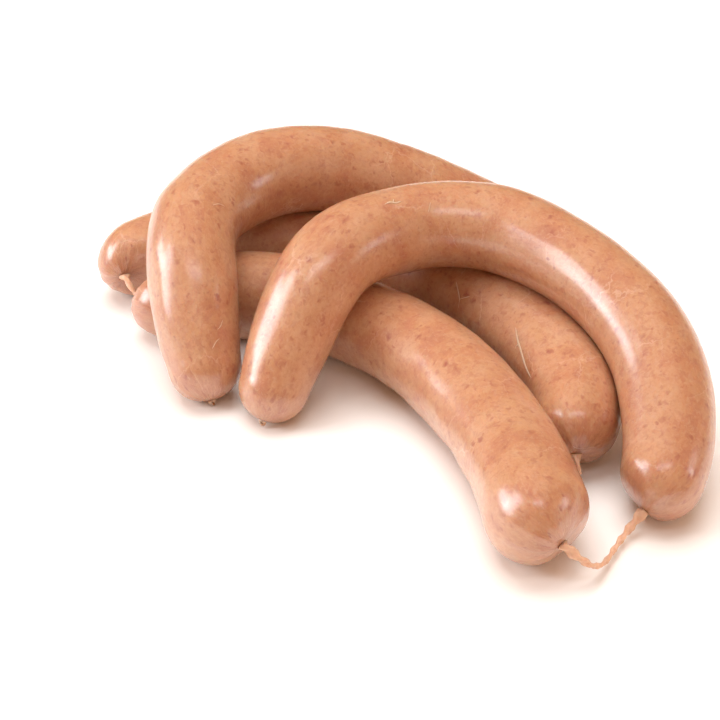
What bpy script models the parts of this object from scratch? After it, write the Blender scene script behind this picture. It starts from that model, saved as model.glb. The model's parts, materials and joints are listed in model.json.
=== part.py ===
"""A folded string of raw sausage links and one cut from it: two links lie on the table, two lie over them."""
import math

import bpy
from mathutils import Vector

MM = 0.001

# Distances are in millimetres and angles in degrees until the meshes are made.
SIDES = 24              # points round a link
SPACING = 4.6           # between the rings of a link
FLAT = 0.9              # how far a belly is pressed flat on the table
PRESS = 0.8             # how far an upper link sinks into a lower one
CLEAR = 0.9             # air kept between the smooth skins of two links
GAP = 0.35              # air between a link's tip and its twist
END_LENGTH = 28.0       # over which a body thins towards an end
DOME_RINGS = 5
TIP_RADIUS = 1.8
PLEATS = 5
PLEAT_DEPTH = 0.10
SWELL = 0.018           # uneven filling, as a share of the radius
TWIST_RADIUS = 1.5
TWIST_SIDES = 10
TWIST_SPACING = 1.6
TWIST_PITCH = 7.0       # length of one turn of the twisted casing
SAG_LENGTH = 30.0       # from a tip to where its twist reaches the table

# A link starts at a dome centre with a heading, then follows its bends: (length, turn left).
# ends are the radii where the end domes start, as shares of the body's. lean turns the tip of an
# end dome sideways, to the left seen along the tip, and dip lowers it.
LINKS = {
    "link_1": dict(start=(-77, 46.5), heading=36, radius=15.0, ends=(0.95, 0.9),
                   bends=[(30, -38), (60, -25), (102, -53), (16, -24)],
                   lean=(80, 15), dip=(0, 20)),
    "link_2": dict(start=(-64.5, 19), heading=10.2, radius=15.2, ends=(0.80, 1.03),
                   bends=[(52.6, -39.2), (60, -32), (74, -23)],
                   lean=(-75, 45), dip=(0, 15)),
    "link_3": dict(start=(-27.5, -32), heading=66, radius=14.3, ends=(0.79, 0.9),
                   bends=[(30, -15), (35, -28), (40, -60), (45, -22), (60, -50)],
                   lean=(-6, -40), dip=(5, 10)),
    "link_4": dict(start=(-50.8, -19.7), heading=107, radius=15.2, ends=(0.81, 0.9),
                   bends=[(28.5, -13), (52, -64), (42, -20), (46, -10)],
                   lean=(6, 0), dip=(5, 10)),
}
# The order in which the links come to lie on one another.
LAID = ("link_1", "link_2", "link_4", "link_3")
LYING = ("link_1", "link_2")
# Twists join the ends of neighbours along the string; 0 is a link's start and 1 its finish.
TWISTS = {
    "twist_1": (("link_1", 0), ("link_2", 0)),
    "twist_2": (("link_2", 1), ("link_3", 1)),
}
# Cut ends of casing: the end that each one is on, its length and its radius at the link.
TAILS = {
    "tail_1": ("link_1", 1, 6.0, 1.4),
    "tail_2": ("link_3", 0, 2.4, 1.1),
    "tail_3": ("link_4", 0, 2.4, 1.1),
    "tail_4": ("link_4", 1, 6.0, 1.4),
}

SKIN = (0.66, 0.30, 0.19)
CASING = (0.74, 0.58, 0.44)


def route(link):
    """Plan of a link's axis, from one dome centre to the other."""
    x, y = link["start"]
    heading = math.radians(link["heading"])
    points = [Vector((x, y, 0.0))]
    for length, turn in link["bends"]:
        count = round(length / SPACING)
        for _ in range(count):
            heading += math.radians(turn) / count / 2
            x += length / count * math.cos(heading)
            y += length / count * math.sin(heading)
            heading += math.radians(turn) / count / 2
            points.append(Vector((x, y, 0.0)))
    return points


def radii_along(points, radius, ends, phase):
    """Radius at each point: its own share at both ends and a little uneven between them."""
    travelled = [0.0]
    for before, after in zip(points, points[1:]):
        travelled.append(travelled[-1] + (after - before).length)
    radii = []
    for s in travelled:
        first = max(0.0, 1 - s / END_LENGTH)
        last = max(0.0, 1 - (travelled[-1] - s) / END_LENGTH)
        share = 1 - (1 - ends[0]) * first ** 2 - (1 - ends[1]) * last ** 2
        wave = math.sin(s / 23 + phase) + 0.6 * math.sin(s / 11 + 2.3 * phase)
        radii.append(radius * (share + SWELL * wave * (1 - first) * (1 - last)))
    return radii


def settle(points, radii, below):
    """Lifts an axis to the table or onto the axes below, taut between the places it rests on."""
    need = [r - FLAT for r in radii]
    for axis, thick in below:
        for i, point in enumerate(points):
            for other, r in zip(axis, thick):
                reach = r + radii[i] - PRESS
                apart = (other.x - point.x) ** 2 + (other.y - point.y) ** 2
                if apart < reach ** 2:
                    need[i] = max(need[i], other.z + math.sqrt(reach ** 2 - apart))
    heights = list(need)
    for _ in range(200):
        for i in range(1, len(heights) - 1):
            heights[i] = max(need[i], (heights[i - 1] + heights[i + 1]) / 2)
    for _ in range(4):
        inner = [(a + 2 * b + c) / 4 for a, b, c in zip(heights, heights[1:], heights[2:])]
        heights = [heights[0]] + inner + [heights[-1]]
    return [Vector((p.x, p.y, z)) for p, z in zip(points, heights)]


def turned(direction, lean, dip):
    """The direction turned left by lean and down by dip, in degrees."""
    flat = Vector((direction.x, direction.y, 0.0)).normalized()
    heading = math.atan2(flat.y, flat.x) + math.radians(lean)
    pitch = math.asin(max(-1.0, min(1.0, direction.z))) - math.radians(dip)
    return Vector((math.cos(heading) * math.cos(pitch), math.sin(heading) * math.cos(pitch), math.sin(pitch)))


def dome(centre, outward, radius, lean, dip):
    """Stations (centre, direction, radius, share of pleats) from an end's dome centre to its tip."""
    stations = []
    point = centre.copy()
    reached = 0.0
    for k in range(1, DOME_RINGS + 1):
        share = k / DOME_RINGS
        angle = math.radians(84) * share
        direction = turned(outward, lean * (share - 0.5 / DOME_RINGS), dip * (share - 0.5 / DOME_RINGS))
        point = point + direction * radius * (math.sin(angle) - reached)
        reached = math.sin(angle)
        width = max(TIP_RADIUS, radius * math.cos(angle) ** 0.9)
        stations.append((point.copy(), turned(outward, lean * share, dip * share), width, share))
    return stations


def stations_of(axis, radii, link):
    """All the stations of a link, tip to tip, each facing along the link."""
    body = []
    for i, (point, radius) in enumerate(zip(axis, radii)):
        along = axis[min(i + 1, len(axis) - 1)] - axis[max(i - 1, 0)]
        body.append((point, along.normalized(), radius, 0.0))
    first = dome(axis[0], -body[0][1], radii[0], link["lean"][0], link["dip"][0])
    last = dome(axis[-1], body[-1][1], radii[-1], link["lean"][1], link["dip"][1])
    opening = [(point, -direction, width, share) for point, direction, width, share in reversed(first)]
    return opening + body + last


def ring(point, along, radius, share):
    """Points round one station, drawn in a little between the pleats."""
    side = along.cross(Vector((0, 0, 1))).normalized()
    top = side.cross(along).normalized()
    points = []
    for k in range(SIDES):
        angle = 2 * math.pi * k / SIDES
        fold = 1 - PLEAT_DEPTH * share ** 2 * (0.5 - 0.5 * math.cos(PLEATS * angle))
        points.append(point + (side * math.cos(angle) + top * math.sin(angle)) * radius * fold)
    return points


def nearest(point, axis, radii):
    """Closest place on an axis, with the radius there."""
    best = None
    for a, b, ra, rb in zip(axis, axis[1:], radii, radii[1:]):
        step = b - a
        share = max(0.0, min(1.0, (point - a).dot(step) / step.length_squared))
        place = a + step * share
        off = (point - place).length
        if best is None or off < best[0]:
            best = (off, place, ra + (rb - ra) * share)
    return best


def pressed(point, below):
    """The point moved clear of the links below and of the table."""
    for _ in range(3):
        for axis, radii in below:
            off, place, radius = nearest(point, axis, radii)
            if off < radius + CLEAR:
                point = place + (point - place) * ((radius + CLEAR) / off)
        point = Vector((point.x, point.y, max(0.0, point.z)))
    return point


def tube(name, rings, colour):
    """A closed solid through rings of equal length, as an object with its own material."""
    count = len(rings[0])
    points = [tuple(p) for points in rings for p in points]
    faces = [tuple(reversed(range(count)))]
    for i in range(len(rings) - 1):
        for k in range(count):
            low, high = i * count, (i + 1) * count
            faces.append((low + k, low + (k + 1) % count, high + (k + 1) % count, high + k))
    faces.append(tuple(range(len(points) - count, len(points))))
    mesh = bpy.data.meshes.new(name)
    mesh.from_pydata(points, [], faces)
    obj = bpy.data.objects.new(name, mesh)
    bpy.context.collection.objects.link(obj)
    bpy.context.view_layer.objects.active = obj
    obj.select_set(True)
    bpy.ops.object.mode_set(mode="EDIT")
    bpy.ops.mesh.select_all(action="SELECT")
    bpy.ops.mesh.normals_make_consistent(inside=False)
    bpy.ops.object.mode_set(mode="OBJECT")
    obj.select_set(False)
    material = bpy.data.materials.new(name + "_material")
    material.use_nodes = True
    shader = material.node_tree.nodes["Principled BSDF"]
    shader.inputs["Base Color"].default_value = (*colour, 1.0)
    shader.inputs["Roughness"].default_value = 0.35
    mesh.materials.append(material)
    return obj


def twisted(path, radii):
    """Rings of casing twisted to a rope of two strands along a path."""
    rings = []
    travelled = 0.0
    for i, (point, radius) in enumerate(zip(path, radii)):
        if i:
            travelled += (point - path[i - 1]).length
        along = (path[min(i + 1, len(path) - 1)] - path[max(i - 1, 0)]).normalized()
        side = along.cross(Vector((0, 0, 1))).normalized()
        top = side.cross(along).normalized()
        turn = 2 * math.pi * travelled / TWIST_PITCH
        points = []
        for k in range(TWIST_SIDES):
            angle = 2 * math.pi * k / TWIST_SIDES
            lobe = radius * (1 + 0.18 * math.cos(2 * (angle - turn)))
            points.append(point + (side * math.cos(angle) + top * math.sin(angle)) * lobe)
        rings.append(points)
    return rings


def twist_between(first, second):
    """Path and radii of the twisted casing from one tip to another, sagging to the table."""
    (a, out_a), (b, out_b) = first, second
    a, b = a + out_a * GAP, b + out_b * GAP
    pull = (b - a).length * 0.45
    handles = (a, a + out_a * pull, b + out_b * pull, b)
    count = max(6, round((b - a).length / TWIST_SPACING))
    path, radii = [], []
    for i in range(count + 1):
        t = i / count
        weights = ((1 - t) ** 3, 3 * t * (1 - t) ** 2, 3 * t * t * (1 - t), t ** 3)
        point = sum((h * w for h, w in zip(handles, weights)), Vector())
        free = min(1.0, min(t, 1 - t) * (b - a).length / SAG_LENGTH)
        low = TWIST_RADIUS * 1.25
        point.z += (low - point.z) * free * free * (3 - 2 * free)
        point.z = max(point.z, low)
        path.append(point)
        radii.append(TWIST_RADIUS * (1 + 0.25 * abs(2 * t - 1) ** 3))
    return path, radii


def tail_from(tip, outward, length, radius):
    """Path and radii of a short cut end of casing."""
    start = tip + outward * GAP
    path, radii = [], []
    for i in range(5):
        t = i / 4
        point = start + turned(outward, 0, 15 * t) * length * t
        point.z = max(point.z, radius * 1.25)
        path.append(point)
        radii.append(radius * (1 - 0.2 * t))
    return path, radii


def build():
    for obj in list(bpy.data.objects):
        bpy.data.objects.remove(obj)
    axes, solids, tips, shapes = {}, {}, {}, []
    for number, name in enumerate(LAID):
        link = LINKS[name]
        plan = route(link)
        radii = radii_along(plan, link["radius"], link["ends"], number * 1.7)
        lower = [] if name in LYING else [axes[other] for other in LYING]
        axis = settle(plan, radii, lower)
        stations = stations_of(axis, radii, link)
        solids[name] = [[pressed(p, shapes) for p in ring(*station)] for station in stations]
        axes[name] = (axis, radii)
        shapes.append(axes[name])
        shapes.append(([station[0] for station in stations], [station[2] for station in stations]))
        tips[name, 0] = (stations[0][0], -stations[0][1])
        tips[name, 1] = (stations[-1][0], stations[-1][1])
    for name, (first, second) in TWISTS.items():
        solids[name] = twisted(*twist_between(tips[first], tips[second]))
    for name, (link, end, length, radius) in TAILS.items():
        solids[name] = twisted(*tail_from(*tips[link, end], length, radius))
    every = [p for rings in solids.values() for points in rings for p in points]
    middle = Vector(((min(p.x for p in every) + max(p.x for p in every)) / 2,
                     (min(p.y for p in every) + max(p.y for p in every)) / 2, 0.0))
    print("middle of the string, moved to the origin:", round(middle.x, 3), round(middle.y, 3))
    for name, rings in solids.items():
        moved = [[(p - middle) * MM for p in points] for points in rings]
        tube(name, moved, SKIN if name in LINKS else CASING)


build()
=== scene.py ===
import bpy
import json
import math
import numpy as np
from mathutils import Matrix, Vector

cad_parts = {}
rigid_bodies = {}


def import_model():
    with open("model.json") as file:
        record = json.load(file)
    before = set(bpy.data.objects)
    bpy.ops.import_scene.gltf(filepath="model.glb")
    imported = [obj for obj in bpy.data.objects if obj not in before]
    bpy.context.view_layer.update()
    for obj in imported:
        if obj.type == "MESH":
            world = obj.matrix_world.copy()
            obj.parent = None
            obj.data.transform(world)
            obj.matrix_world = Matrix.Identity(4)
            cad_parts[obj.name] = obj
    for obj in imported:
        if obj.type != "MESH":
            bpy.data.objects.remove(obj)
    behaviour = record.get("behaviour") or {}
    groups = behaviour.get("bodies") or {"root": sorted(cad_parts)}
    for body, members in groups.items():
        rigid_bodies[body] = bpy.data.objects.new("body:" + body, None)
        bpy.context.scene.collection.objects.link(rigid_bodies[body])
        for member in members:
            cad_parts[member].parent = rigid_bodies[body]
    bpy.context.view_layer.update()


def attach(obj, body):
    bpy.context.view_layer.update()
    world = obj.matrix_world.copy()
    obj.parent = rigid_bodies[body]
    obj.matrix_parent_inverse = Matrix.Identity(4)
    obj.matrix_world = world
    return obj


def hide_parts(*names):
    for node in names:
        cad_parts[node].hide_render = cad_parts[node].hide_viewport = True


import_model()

# everything is worked out in millimetres from the folded string's own zero, then moved onto the frame
mm = 0.001
middle = (7.448, -17.455, 0.0)


def linear(hexColour):
    # sRGB hex to linear, with alpha
    channels = [int(hexColour[i:i + 2], 16) / 255 for i in (1, 3, 5)]
    return [c / 12.92 if c <= 0.04045 else ((c + 0.055) / 1.055) ** 2.4 for c in channels] + [1.0]


# the way the four links lie
# each link starts at a dome centre with a heading, then follows its bends: (length, turn left in degrees)
# lean and dip turn its two tips sideways and down, in degrees
linkSettings = {
    "link_1": dict(start=(-77, 46.5), heading=36, radius=15.0, ends=(0.95, 0.9),
                   bends=[(30, -38), (60, -25), (102, -53), (16, -24)], lean=(80, 15), dip=(0, 20)),
    "link_2": dict(start=(-64.5, 19), heading=10.2, radius=15.2, ends=(0.80, 1.03),
                   bends=[(52.6, -39.2), (60, -32), (74, -23)], lean=(-75, 45), dip=(0, 15)),
    "link_4": dict(start=(-50.8, -19.7), heading=107, radius=15.2, ends=(0.81, 0.9),
                   bends=[(28.5, -13), (52, -64), (42, -20), (46, -10)], lean=(6, 0), dip=(5, 10)),
    "link_3": dict(start=(-27.5, -32), heading=66, radius=14.3, ends=(0.79, 0.9),
                   bends=[(30, -15), (35, -28), (40, -60), (45, -22), (60, -50)],
                   lean=(-6, -40), dip=(5, 10)),
}
# flat is how far a link sinks onto the table, press how far crossing links sink into one another, and
# swell how uneven their thickness is, as a share of it
foldSettings = dict(spacing=4.6, flat=0.9, press=0.8, endLength=28.0, swell=0.018, tip=1.75,
                    tautPasses=200, smoothPasses=4, domeAngle=84, domePower=0.9, fineSteps=5, phaseStep=1.7)
lying = ("link_1", "link_2")


def planRoute(link):
    x, y = link["start"]
    heading = math.radians(link["heading"])
    points = [(x, y)]
    for length, turn in link["bends"]:
        count = round(length / foldSettings["spacing"])
        for _ in range(count):
            heading += math.radians(turn) / count / 2
            x += length / count * math.cos(heading)
            y += length / count * math.sin(heading)
            heading += math.radians(turn) / count / 2
            points.append((x, y))
    return np.array(points)


def bodyRadii(plan, radius, ends, phase):
    travelled = np.concatenate([[0], np.cumsum(np.linalg.norm(np.diff(plan, axis=0), axis=1))])
    first = np.maximum(0, 1 - travelled / foldSettings["endLength"])
    last = np.maximum(0, 1 - (travelled[-1] - travelled) / foldSettings["endLength"])
    share = 1 - (1 - ends[0]) * first ** 2 - (1 - ends[1]) * last ** 2
    wave = np.sin(travelled / 23 + phase) + 0.6 * np.sin(travelled / 11 + 2.3 * phase)
    return radius * (share + foldSettings["swell"] * wave * (1 - first) * (1 - last))


def settledHeights(plan, radii, below):
    # on the table, or on the links below and taut between the places where it rests
    need = radii - foldSettings["flat"]
    for axis, thick in below:
        for i, point in enumerate(plan):
            reach = thick + radii[i] - foldSettings["press"]
            apart = (axis[:, 0] - point[0]) ** 2 + (axis[:, 1] - point[1]) ** 2
            over = apart < reach ** 2
            if over.any():
                need[i] = max(need[i], np.max(axis[over, 2] + np.sqrt(reach[over] ** 2 - apart[over])))
    heights = need.copy()
    for _ in range(foldSettings["tautPasses"]):
        for i in range(1, len(heights) - 1):
            heights[i] = max(need[i], (heights[i - 1] + heights[i + 1]) / 2)
    for _ in range(foldSettings["smoothPasses"]):
        heights[1:-1] = (heights[:-2] + 2 * heights[1:-1] + heights[2:]) / 4
    return heights


def turnedWay(direction, lean, dip):
    heading = math.atan2(direction[1], direction[0]) + math.radians(lean)
    pitch = math.asin(max(-1.0, min(1.0, direction[2]))) - math.radians(dip)
    flatShare = math.cos(pitch)
    return np.array([math.cos(heading) * flatShare, math.sin(heading) * flatShare, math.sin(pitch)])


# a filled end closes like a dome that leans and dips as it goes
def domeStations(centre, outward, radius, lean, dip, count=24):
    stations = []
    point = centre.copy()
    reached = 0.0
    for k in range(1, count + 1):
        share = k / count
        angle = math.radians(foldSettings["domeAngle"]) * share
        way = turnedWay(outward, lean * (share - 0.5 / count), dip * (share - 0.5 / count))
        point = point + way * radius * (math.sin(angle) - reached)
        reached = math.sin(angle)
        width = max(foldSettings["tip"], radius * math.cos(angle) ** foldSettings["domePower"])
        stations.append((point.copy(), turnedWay(outward, lean * share, dip * share), width, share))
    return stations


def smoothLine(points, perStep):
    # Catmull-Rom through the points, so the fine mesh shows no corners of the coarse route
    padded = np.vstack([2 * points[0] - points[1], points, 2 * points[-1] - points[-2]])
    out = []
    for i in range(1, len(padded) - 2):
        a, b, c, d = padded[i - 1:i + 3]
        for k in range(perStep):
            t = k / perStep
            out.append(0.5 * (2 * b + (c - a) * t + (2 * a - 5 * b + 4 * c - d) * t ** 2
                              + (3 * b - a - 3 * c + d) * t ** 3))
    out.append(points[-1])
    return np.array(out)


class Lie:
    # one link's way through space: stations from tip to tip, with the length travelled over its skin

    def __init__(self, name, phase, below):
        link = linkSettings[name]
        plan = planRoute(link)
        radii = bodyRadii(plan, link["radius"], link["ends"], phase)
        self.coarse = np.column_stack([plan, settledHeights(plan, radii, below)]), radii
        fine = smoothLine(np.column_stack([self.coarse[0], radii]), foldSettings["fineSteps"])
        axis, width = fine[:, :3], fine[:, 3]
        along = np.gradient(axis, axis=0)
        along /= np.linalg.norm(along, axis=1)[:, None]
        first = domeStations(axis[0], -along[0], width[0], link["lean"][0], link["dip"][0])
        last = domeStations(axis[-1], along[-1], width[-1], link["lean"][1], link["dip"][1])
        stations = [(p, -d, w, s) for p, d, w, s in reversed(first)]
        stations += [(p, d, w, 0.0) for p, d, w in zip(axis, along, width)]
        stations += last
        self.centre = np.array([s[0] for s in stations])
        self.along = np.array([s[1] for s in stations])
        self.width = np.array([s[2] for s in stations])
        self.share = np.array([s[3] for s in stations])
        step = np.hypot(np.linalg.norm(np.diff(self.centre, axis=0), axis=1), np.diff(self.width))
        self.skin = np.concatenate([[0], np.cumsum(step)])
        self.capsule = axis, width

    def at(self, s, angle):
        # points on the skin: s millimetres from the first tip over the skin, angle round the link (90 is up)
        centre = np.column_stack([np.interp(s, self.skin, self.centre[:, k]) for k in range(3)])
        along = np.column_stack([np.interp(s, self.skin, self.along[:, k]) for k in range(3)])
        along /= np.linalg.norm(along, axis=1)[:, None]
        width = np.interp(s, self.skin, self.width)
        share = np.interp(s, self.skin, self.share)
        side = np.cross(along, (0, 0, 1.0))
        side /= np.linalg.norm(side, axis=1)[:, None]
        top = np.cross(side, along)
        spoke = np.cos(angle)[:, None] * side + np.sin(angle)[:, None] * top
        return centre, spoke, width, share


print("settling the links")
lies = {}
for number, name in enumerate(linkSettings):
    below = [lies[other].coarse for other in lying] if name not in lying else []
    lies[name] = Lie(name, number * foldSettings["phaseStep"], below)


def pushClear(points, others, clear):
    # moves points out of the links that were laid before, and up onto the table
    points = points.copy()
    block = 4000  # points handled at once, to save memory
    for _ in range(3):
        for other in others:
            for axis, width in (other.capsule, (other.centre, other.width)):
                for start in range(0, len(points), block):
                    part = points[start:start + block]
                    off = np.linalg.norm(part[:, None, :] - axis[None], axis=2)
                    worst = np.argmin(off - width[None], axis=1)
                    rows = np.arange(len(part))
                    gap, wide = off[rows, worst], width[worst] + clear
                    inside = gap < wide
                    push = part[inside] - axis[worst[inside]]
                    part[inside] = axis[worst[inside]] + push * (wide[inside] / gap[inside])[:, None]
                    points[start:start + block] = part
        points[:, 2] = np.maximum(points[:, 2], 0.0)
    return points


def onFrame(points):
    return (np.asarray(points) - middle) * mm


# materials
def addNode(tree, kind, settings=None, links=None):
    # adds one node, sets sockets by name or attributes, and links sockets from (node, output)
    node = tree.nodes.new(kind)
    for key, value in (settings or {}).items():
        if key in node.inputs:
            node.inputs[key].default_value = value
        else:
            setattr(node, key, value)
    for key, (source, output) in (links or {}).items():
        tree.links.new(source.outputs[output], node.inputs[key])
    return node


def newMaterial(name):
    material = bpy.data.materials.new(name)
    material.use_nodes = True
    tree = material.node_tree
    return material, tree, tree.nodes["Principled BSDF"]


# sizes are in millimetres, and specks are (cell size, share of cells left plain, strength)
meatSettings = dict(
    skin="#BF875F", rosy="#B07056", pale="#C99D7C", blotch="#A4604A", speck="#94483B", vein="#DDB79C",
    patchSize=13.0, blotchSize=3.2, minceSize=1.3, grainSize=0.8, veinSize=18.0, veinPatch=19.0, dampSize=6.0,
    specks=[(1.9, 0.3, 0.45), (2.9, 0.3, 0.7), (4.4, 0.55, 0.85)],
    roughness=0.52, subsurface=0.45,
)


def casedMeat():
    # raw minced pork in moist natural casing: soft scattering under a thin wet film
    # patterns lie on skinWay, the link laid straight: x and y round it and z along it, in millimetres
    material, tree, shader = newMaterial("raw_pork_in_natural_casing")
    s = meatSettings
    way = addNode(tree, "ShaderNodeAttribute", {"attribute_name": "skinWay"})
    ends = addNode(tree, "ShaderNodeAttribute", {"attribute_name": "nearEnd"})

    patch = addNode(tree, "ShaderNodeTexNoise", {"Scale": 1 / s["patchSize"], "Detail": 3.0, "Roughness": 0.6},
                    {"Vector": (way, "Vector")})
    paler = addNode(tree, "ShaderNodeMapRange", {"From Min": 0.4, "From Max": 0.75, "To Max": 0.7},
                    {"Value": (patch, "Fac")})
    colour = addNode(tree, "ShaderNodeMix", {"data_type": "RGBA"}, {0: (paler, 0)})
    colour.inputs[6].default_value = linear(s["skin"])
    colour.inputs[7].default_value = linear(s["pale"])

    # minced meat shows through the casing as soft blotches, on places pushed about by a coarse noise
    push = addNode(tree, "ShaderNodeTexNoise", {"Scale": 0.5, "Detail": 2.0}, {"Vector": (way, "Vector")})
    shift = addNode(tree, "ShaderNodeVectorMath", {"operation": "MULTIPLY_ADD"},
                    {0: (push, "Color"), 2: (way, "Vector")})
    shift.inputs[1].default_value = (2.6, 2.6, 3.4)
    blotch = addNode(tree, "ShaderNodeTexNoise",
                     {"Scale": 1 / s["blotchSize"], "Detail": 3.0, "Roughness": 0.55}, {"Vector": (shift, 0)})
    mince = addNode(tree, "ShaderNodeTexNoise",
                    {"Scale": 1 / s["minceSize"], "Detail": 3.0, "Roughness": 0.7}, {"Vector": (shift, 0)})
    # each layer: what it follows, where it starts and is full, how strong it is, and its colour
    layers = [
        (patch, "Fac", 0.5, 0.3, 0.6, s["rosy"]),
        (ends, "Fac", 0.3, 1.0, 0.35, s["rosy"]),
        (blotch, "Fac", 0.52, 0.75, 0.55, s["blotch"]),
        (mince, "Fac", 0.5, 0.72, 0.5, s["rosy"]),
        (mince, "Fac", 0.48, 0.28, 0.5, s["pale"]),
    ]

    # small specks of lean, in some of the cells only
    for size, low, strength in s["specks"]:
        cells = addNode(tree, "ShaderNodeTexVoronoi", {"Scale": 1 / size, "Randomness": 1.0},
                        {"Vector": (shift, 0)})
        inside = addNode(tree, "ShaderNodeMapRange",
                         {"From Min": 0.04, "From Max": 0.34, "To Min": 1.0, "To Max": 0.0},
                         {"Value": (cells, "Distance")})
        lot = addNode(tree, "ShaderNodeSeparateColor", None, {"Color": (cells, "Color")})
        chance = addNode(tree, "ShaderNodeMapRange", {"From Min": low, "To Max": strength},
                         {"Value": (lot, "Red")})
        speck = addNode(tree, "ShaderNodeMath", {"operation": "MULTIPLY"}, {0: (inside, 0), 1: (chance, 0)})
        layers.append((speck, 0, 0.0, 1.0, 1.0, s["speck"]))

    # hair-fine pale veins of membrane, seen only here and there
    net = addNode(tree, "ShaderNodeTexVoronoi", {"Scale": 1 / s["veinSize"], "feature": "DISTANCE_TO_EDGE"},
                  {"Vector": (shift, 0)})
    line = addNode(tree, "ShaderNodeMapRange",
                   {"From Min": 0.002, "From Max": 0.016, "To Min": 0.36, "To Max": 0.0},
                   {"Value": (net, "Distance")})
    place = addNode(tree, "ShaderNodeTexNoise", {"Scale": 1 / s["veinPatch"], "Detail": 1.0},
                    {"Vector": (way, "Vector")})
    seen = addNode(tree, "ShaderNodeMapRange", {"From Min": 0.54, "From Max": 0.64}, {"Value": (place, "Fac")})
    vein = addNode(tree, "ShaderNodeMath", {"operation": "MULTIPLY"}, {0: (line, 0), 1: (seen, 0)})
    layers.append((vein, 0, 0.0, 1.0, 1.0, s["vein"]))

    for source, output, low, high, most, tint in layers:
        amount = addNode(tree, "ShaderNodeMapRange", {"From Min": low, "From Max": high, "To Max": most},
                         {"Value": (source, output)})
        colour = addNode(tree, "ShaderNodeMix", {"data_type": "RGBA"}, {0: (amount, 0), 6: (colour, 2)})
        colour.inputs[7].default_value = linear(tint)
    tree.links.new(colour.outputs[2], shader.inputs["Base Color"])

    # moisture is uneven, so the gloss is too
    damp = addNode(tree, "ShaderNodeTexNoise", {"Scale": 1 / s["dampSize"], "Detail": 4.0, "Roughness": 0.65},
                   {"Vector": (way, "Vector")})
    moist, dry = s["roughness"] - 0.08, s["roughness"] + 0.1
    gloss = addNode(tree, "ShaderNodeMapRange",
                    {"From Min": 0.35, "From Max": 0.65, "To Min": moist, "To Max": dry},
                    {"Value": (damp, "Fac")})
    tree.links.new(gloss.outputs[0], shader.inputs["Roughness"])
    shader.inputs["IOR"].default_value = 1.45
    shader.inputs["Specular IOR Level"].default_value = 0.6
    shader.inputs["Subsurface Weight"].default_value = s["subsurface"]
    shader.inputs["Subsurface Radius"].default_value = (1.0, 0.3, 0.12)
    shader.inputs["Subsurface Scale"].default_value = 0.004
    shader.inputs["Coat Weight"].default_value = 1.0
    shader.inputs["Coat Roughness"].default_value = 0.25
    shader.inputs["Coat IOR"].default_value = 1.75

    # pores, a faint grain of mince, and wrinkles that run into the ends
    grain = addNode(tree, "ShaderNodeTexNoise", {"Scale": 1 / s["grainSize"], "Detail": 3.0},
                    {"Vector": (way, "Vector")})
    lumps = addNode(tree, "ShaderNodeTexNoise", {"Scale": 1 / 3.2, "Detail": 2.0}, {"Vector": (shift, 0)})
    long = addNode(tree, "ShaderNodeVectorMath", {"operation": "MULTIPLY"}, {0: (way, "Vector")})
    long.inputs[1].default_value = (0.3, 0.3, 0.1)
    wrinkle = addNode(tree, "ShaderNodeTexNoise",
                      {"Scale": 1.0, "Detail": 4.0, "Roughness": 0.6, "Distortion": 0.6}, {"Vector": (long, 0)})
    tight = addNode(tree, "ShaderNodeMapRange", {"From Min": 0.35, "To Min": 0.04, "To Max": 0.5},
                    {"Value": (ends, "Fac")})
    deep = addNode(tree, "ShaderNodeMath", {"operation": "MULTIPLY"}, {0: (wrinkle, "Fac"), 1: (tight, 0)})
    fine = addNode(tree, "ShaderNodeBump", {"Strength": 0.6, "Distance": 0.00016}, {"Height": (grain, "Fac")})
    soft = addNode(tree, "ShaderNodeBump", {"Strength": 0.5, "Distance": 0.0005},
                   {"Height": (lumps, "Fac"), "Normal": (fine, 0)})
    drawn = addNode(tree, "ShaderNodeBump", {"Strength": 0.8, "Distance": 0.0016},
                    {"Height": (deep, 0), "Normal": (soft, 0)})
    tree.links.new(drawn.outputs["Normal"], shader.inputs["Normal"])
    return material


casingSettings = dict(pale="#E6C3A6", dark="#CC9A7C", roughness=0.36, streakSize=1.5)


def emptyCasing(name, pale, dark):
    # natural casing with nothing in it, twisted and half dry: pale, translucent, a little glossy
    material, tree, shader = newMaterial(name)
    place = addNode(tree, "ShaderNodeTexCoord")
    streak = addNode(tree, "ShaderNodeTexNoise",
                     {"Scale": 1000 / casingSettings["streakSize"], "Detail": 2.0},
                     {"Vector": (place, "Object")})
    tone = addNode(tree, "ShaderNodeMix", {"data_type": "RGBA"}, {0: (streak, "Fac")})
    tone.inputs[6].default_value = linear(pale)
    tone.inputs[7].default_value = linear(dark)
    tree.links.new(tone.outputs[2], shader.inputs["Base Color"])
    shader.inputs["Roughness"].default_value = casingSettings["roughness"]
    shader.inputs["IOR"].default_value = 1.45
    shader.inputs["Subsurface Weight"].default_value = 0.5
    shader.inputs["Subsurface Radius"].default_value = (1.0, 0.6, 0.4)
    shader.inputs["Subsurface Scale"].default_value = 0.002
    crumple = addNode(tree, "ShaderNodeBump", {"Strength": 0.5, "Distance": 0.0003},
                      {"Height": (streak, "Fac")})
    tree.links.new(crumple.outputs["Normal"], shader.inputs["Normal"])
    return material


meat = casedMeat()
casing = emptyCasing("twisted_natural_casing", casingSettings["pale"], casingSettings["dark"])
membrane = emptyCasing("moist_membrane_on_the_casing", "#E2BFA3", "#CF9C7C")


def nothingSelected():
    for obj in bpy.context.view_layer.objects:
        obj.select_set(False)


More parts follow.
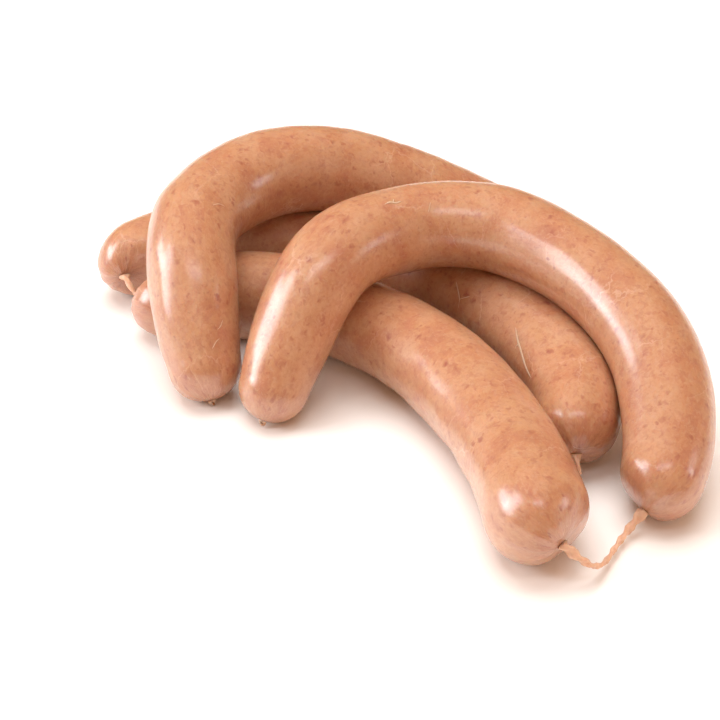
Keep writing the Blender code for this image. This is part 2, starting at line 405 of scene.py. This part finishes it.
def rolledSleeve(name, sides, cuts):
    # an open cylinder, cut into many rings: the empty sleeve that a link is filled from
    nothingSelected()
    bpy.ops.mesh.primitive_cylinder_add(vertices=sides, radius=1.0, depth=2.0, end_fill_type="NOTHING")
    sleeve = bpy.context.object
    sleeve.name = name
    bpy.ops.object.mode_set(mode="EDIT")
    bpy.ops.mesh.select_mode(type="EDGE")
    for count in cuts:
        bpy.ops.mesh.select_all(action="DESELECT")
        bpy.ops.object.mode_set(mode="OBJECT")
        points = sleeve.data.vertices
        for edge in sleeve.data.edges:
            a, b = (points[i].co for i in edge.vertices)
            edge.select = abs(a.z - b.z) > 1e-4
        bpy.ops.object.mode_set(mode="EDIT")
        bpy.ops.mesh.subdivide(number_cuts=count, quadcorner="STRAIGHT_CUT")
    bpy.ops.object.mode_set(mode="OBJECT")
    return sleeve


def closeEnds(obj):
    bpy.context.view_layer.objects.active = obj
    bpy.ops.object.mode_set(mode="EDIT")
    bpy.ops.mesh.select_mode(type="EDGE")
    bpy.ops.mesh.select_all(action="DESELECT")
    bpy.ops.mesh.select_non_manifold()
    bpy.ops.mesh.fill_holes(sides=0)
    bpy.ops.mesh.select_all(action="SELECT")
    bpy.ops.mesh.normals_make_consistent(inside=False)
    bpy.ops.object.mode_set(mode="OBJECT")
    bpy.ops.object.shade_smooth()


skinSettings = dict(sides=96, rings=(14, 16), pleats=9, pleatDepth=0.13, lump=0.2, lumpSize=15.0, clear=0.12,
                    endLength=22.0, patternShift=400.0)


def waves(points, size, seed):
    # gentle seeded unevenness, between -1 and 1
    rng = np.random.default_rng(seed)
    total = np.zeros(len(points))
    for _ in range(9):
        way = rng.normal(size=3)
        way /= np.linalg.norm(way)
        steep = 2 * math.pi / (size * rng.uniform(0.7, 1.7))
        total += np.sin(points @ way * steep + rng.uniform(0, 2 * math.pi))
    return total / 4.0


laid = []


def skinPoints(name, s, angle):
    # the uneven skin of a link, clear of those laid before it
    lie = lies[name]
    seed = 11 + len(laid)
    centre, outward, width, share = lie.at(s, angle)
    fold = 0.5 - 0.5 * np.cos(skinSettings["pleats"] * angle + 2.0 * np.sin(2 * angle + seed))
    width = width * (1 - skinSettings["pleatDepth"] * share ** 2.5 * fold)
    points = centre + outward * width[:, None]
    body = np.clip((width - 4) / 8, 0, 1)
    points += outward * (waves(points, skinSettings["lumpSize"], seed) * skinSettings["lump"] * body)[:, None]
    return pushClear(points, laid, skinSettings["clear"]), outward


def cylinderPlaces(obj):
    # share of the way up and angle of every point of a rolled sleeve
    co = np.empty(len(obj.data.vertices) * 3)
    obj.data.vertices.foreach_get("co", co)
    co = co.reshape(-1, 3)
    return (co[:, 2] + 1) / 2, np.arctan2(co[:, 1], co[:, 0])


def keepValues(mesh, name, values):
    # stores one number or one vector per point under a name that the material reads
    wide = values.ndim == 2
    kept = mesh.attributes.new(name, "FLOAT_VECTOR" if wide else "FLOAT", "POINT")
    kept.data.foreach_set("vector" if wide else "value", values.astype(np.float32).ravel())


def handOver(obj, material, node):
    obj.data.materials.clear()
    obj.data.materials.append(material)
    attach(obj, "root")
    if node:
        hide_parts(node)


def fillLink(name):
    length = lies[name].skin[-1]
    sleeve = rolledSleeve("filled_" + name, skinSettings["sides"], skinSettings["rings"])
    upward, angle = cylinderPlaces(sleeve)
    s = upward * length
    points, _ = skinPoints(name, s, angle)
    sleeve.data.vertices.foreach_set("co", onFrame(points).ravel())
    around = linkSettings[name]["radius"]
    shift = skinSettings["patternShift"] * len(laid)  # no two links show the same pattern
    straight = np.column_stack([around * np.cos(angle), around * np.sin(angle), s + shift])
    toEnd = np.minimum(s, length - s) / skinSettings["endLength"]
    keepValues(sleeve.data, "skinWay", straight)
    keepValues(sleeve.data, "nearEnd", np.clip(1 - toEnd, 0, 1))
    sleeve.data.update()
    closeEnds(sleeve)
    handOver(sleeve, meat, name)


# fine strands of membrane that stick to the skins: half their width, and where they run
# (millimetres along the skin, degrees round it)
strandSettings = dict(sides=8, rings=(7, 5), lift=0.06, flat=0.35, fineSteps=12, thinnest=0.25)
strands = {
    "link_1": [(0.3, [(150, 46), (153, 36), (155, 28), (156, 17)]), (0.2, [(155, 28), (157, 33), (159, 38)]),
               (0.42, [(188, 44), (192, 37), (195, 33), (199, 29), (206, 23), (211, 22)]),
               (0.3, [(195, 33), (194, 30), (194, 25)]),
               (0.35, [(246, 70), (247, 100), (246, 135), (244, 158)])],
    "link_2": [],
    "link_4": [(0.25, [(23, 70), (22, 76), (20, 83)]), (0.2, [(29, 60), (27, 65), (26, 70)]),
               (0.25, [(65, 58), (67, 50), (68, 41)])],
    "link_3": [(0.35, [(82, 72), (84, 73), (86, 69), (88, 70)]), (0.28, [(85, 71), (86, 76)]),
               (0.3, [(99, 60), (98, 53), (97, 47)])],
}


def layStrands(name):
    for number, (radius, way) in enumerate(strands[name]):
        label = name + "_membrane_" + str(number + 1)
        thread = rolledSleeve(label, strandSettings["sides"], strandSettings["rings"])
        upward, angle = cylinderPlaces(thread)
        steps = smoothLine(np.array(way, float), strandSettings["fineSteps"])
        spot = upward * (len(steps) - 1)
        s = np.interp(spot, range(len(steps)), steps[:, 0])
        around = np.radians(np.interp(spot, range(len(steps)), steps[:, 1]))
        base, outward = skinPoints(name, s, around)
        further, _ = skinPoints(name, s + 0.5, around)
        along = further - base
        along /= np.linalg.norm(along, axis=1)[:, None]
        sideways = np.cross(along, outward)
        least = strandSettings["thinnest"]
        thick = radius * (least + (1 - least) * np.sin(math.pi * upward) ** 0.5)
        high = thick * strandSettings["flat"]
        ring = sideways * (np.cos(angle) * thick)[:, None] + outward * (np.sin(angle) * high)[:, None]
        points = base + outward * strandSettings["lift"] + ring
        thread.data.vertices.foreach_set("co", onFrame(points).ravel())
        thread.data.update()
        closeEnds(thread)
        handOver(thread, membrane, None)


print("filling the links")
for name in lies:
    fillLink(name)
    layStrands(name)
    laid.append(lies[name])


# twists of empty casing between the links, and the cut ends: link, which end, length and half thickness
ropeSettings = dict(sides=20, rings=(7, 9), radius=1.5, pitch=11.0, sag=30.0, gap=0.2, waist=0.5,
                    pathPoints=81, handle=0.45, lieHigh=1.25, droop=15)
twists = {"twist_1": (("link_1", 0), ("link_2", 0)), "twist_2": (("link_2", 1), ("link_3", 1))}
tails = {"tail_1": ("link_1", 1, 6.0, 1.4), "tail_2": ("link_3", 0, 2.4, 1.1),
         "tail_3": ("link_4", 0, 2.4, 1.1), "tail_4": ("link_4", 1, 6.0, 1.4)}


def tipOf(name, end):
    lie = lies[name]
    return (lie.centre[-1], lie.along[-1]) if end else (lie.centre[0], -lie.along[0])


def twistPath(first, second):
    (a, outA), (b, outB) = first, second
    a, b = a + outA * ropeSettings["gap"], b + outB * ropeSettings["gap"]
    apart = np.linalg.norm(b - a)
    t = np.linspace(0, 1, ropeSettings["pathPoints"])[:, None]
    handleA, handleB = (p + out * apart * ropeSettings["handle"] for p, out in ((a, outA), (b, outB)))
    path = a * (1 - t) ** 3 + handleA * 3 * t * (1 - t) ** 2 + handleB * 3 * t * t * (1 - t) + b * t ** 3
    free = np.clip(np.minimum(t, 1 - t)[:, 0] * apart / ropeSettings["sag"], 0, 1)
    low = ropeSettings["radius"] * ropeSettings["lieHigh"]
    path[:, 2] += (low - path[:, 2]) * free ** 2 * (3 - 2 * free)
    path[:, 2] = np.maximum(path[:, 2], low)
    spread = np.abs(2 * t[:, 0] - 1) ** 2.5
    return path, ropeSettings["radius"] * (ropeSettings["waist"] + (1.15 - ropeSettings["waist"]) * spread)


def tailPath(tip, outward, length, radius):
    start = tip + outward * ropeSettings["gap"]
    shares = np.linspace(0, 1, ropeSettings["pathPoints"])
    path = np.array([start + turnedWay(outward, 0, ropeSettings["droop"] * t) * length * t for t in shares])
    path[:, 2] = np.maximum(path[:, 2], radius * ropeSettings["lieHigh"])
    return path, radius * (1.1 - 0.45 * np.sin(shares * math.pi * 0.75))


def twistCasing(node, path, radii):
    rope = rolledSleeve("casing_" + node, ropeSettings["sides"], ropeSettings["rings"])
    upward, angle = cylinderPlaces(rope)
    spot = upward * (len(path) - 1)
    travelled = np.concatenate([[0], np.cumsum(np.linalg.norm(np.diff(path, axis=0), axis=1))])
    along = np.gradient(path, axis=0)
    steps = range(len(path))
    centre, way = (np.column_stack([np.interp(spot, steps, a[:, k]) for k in range(3)]) for a in (path, along))
    way /= np.linalg.norm(way, axis=1)[:, None]
    side = np.cross(way, (0, 0, 1.0))
    side /= np.linalg.norm(side, axis=1)[:, None]
    top = np.cross(side, way)
    turn = 2 * math.pi * np.interp(spot, steps, travelled) / ropeSettings["pitch"]
    radius = np.interp(spot, steps, radii)
    lobe = radius * (0.9 + 0.3 * np.cos(2 * (angle - turn)) + 0.08 * np.sin(5 * angle + 3 * turn))
    points = centre + side * (np.cos(angle) * lobe)[:, None] + top * (np.sin(angle) * lobe)[:, None]
    points[:, 2] = np.maximum(points[:, 2], 0.0)
    rope.data.vertices.foreach_set("co", onFrame(points).ravel())
    rope.data.update()
    closeEnds(rope)
    handOver(rope, casing, node)


print("twisting the casing")
for node, (first, second) in twists.items():
    twistCasing(node, *twistPath(tipOf(*first), tipOf(*second)))
for node, (link, end, length, radius) in tails.items():
    twistCasing(node, *tailPath(*tipOf(link, end), length, radius))


# floor, light and camera
roomSettings = dict(glow="#FFCA98", strength=0.31, backdrop="#F4F1EC")
stageSettings = dict(floor="#FAF7F2", elevation=33.0, distance=600.0, lens=88.5, aim=(0.0, 0.0, 0.0))


def whiteTable():
    nothingSelected()
    bpy.ops.mesh.primitive_plane_add(size=6.0, location=(0, 0, -0.0002))
    table = bpy.context.object
    table.name = "white_table"
    material, tree, shader = newMaterial("white_laminate_table")
    shader.inputs["Base Color"].default_value = linear(stageSettings["floor"])
    shader.inputs["Roughness"].default_value = 0.6
    table.data.materials.append(material)


def warmRoom():
    # warm light from the room fills the gaps, and the backdrop that the camera sees is pale
    world = bpy.data.worlds.new("studio")
    world.use_nodes = True
    tree = world.node_tree
    room = tree.nodes["Background"]
    room.inputs["Color"].default_value = linear(roomSettings["glow"])
    room.inputs["Strength"].default_value = roomSettings["strength"]
    backdrop = addNode(tree, "ShaderNodeBackground", {"Color": linear(roomSettings["backdrop"])})
    seen = addNode(tree, "ShaderNodeLightPath")
    both = addNode(tree, "ShaderNodeMixShader", None,
                   {0: (seen, "Is Camera Ray"), 1: (room, 0), 2: (backdrop, 0)})
    tree.links.new(both.outputs[0], tree.nodes["World Output"].inputs["Surface"])
    bpy.context.scene.world = world


# each light: place and aim in metres, size, watts, colour, and whether the moist skins mirror it
lightSettings = {
    "overhead_scrim": ((-0.1, 0.4, 1.3), (0, 0.1, 0), (1.4, 1.2), 23.4, "#F8FBFF", False),
    "left_window": ((-1.0, -0.16, 0.6), (0, 0, 0.03), (0.42, 0.8), 6.5, "#F2F7FF", True),
    "left_low_window": ((-1.1, 0.16, 0.42), (0, 0, 0.03), (0.5, 0.34), 3.9, "#F2F7FF", True),
    "right_window": ((1.05, -0.2, 0.4), (0, 0, 0.03), (0.2, 0.3), 0.9, "#F2F7FF", True),
    "top_front_softbox": ((0.05, -0.5, 1.05), (0, 0, 0.03), (0.7, 0.22), 1.7, "#F2F7FF", True),
    "front_fill": ((0.3, -1.3, 0.8), (0, 0, 0.03), (1.6, 0.6), 4.2, "#FFDEC6", False),
    "right_fill": ((1.2, -0.5, 0.35), (0, 0, 0.03), (0.6, 0.6), 2.4, "#FFDEC6", False),
}


def softLight(name, place, aim, size, power, colour, mirrored):
    data = bpy.data.lights.new(name, "AREA")
    data.shape = "RECTANGLE"
    data.size, data.size_y = size
    data.energy = power
    data.color = linear(colour)[:3]
    light = bpy.data.objects.new(name, data)
    bpy.context.collection.objects.link(light)
    light.visible_glossy = mirrored
    light.location = place
    light.rotation_euler = (Vector(aim) - Vector(place)).to_track_quat("-Z", "Y").to_euler()


def photoCamera():
    tilt = math.radians(stageSettings["elevation"])
    away = Vector((0, -math.cos(tilt), math.sin(tilt))) * stageSettings["distance"]
    aim = Vector(stageSettings["aim"])
    data = bpy.data.cameras.new("photo_camera")
    data.lens = stageSettings["lens"]
    data.sensor_width = 36
    data.clip_start = 0.01
    camera = bpy.data.objects.new("photo_camera", data)
    bpy.context.collection.objects.link(camera)
    camera.location = onFrame([list(aim + away)])[0]
    camera.rotation_euler = (math.radians(90) - tilt, 0, 0)
    bpy.context.scene.camera = camera


whiteTable()
warmRoom()
for name, light in lightSettings.items():
    softLight(name, *light)
photoCamera()
bpy.context.scene.view_settings.view_transform = "Standard"

bpy.context.view_layer.update()
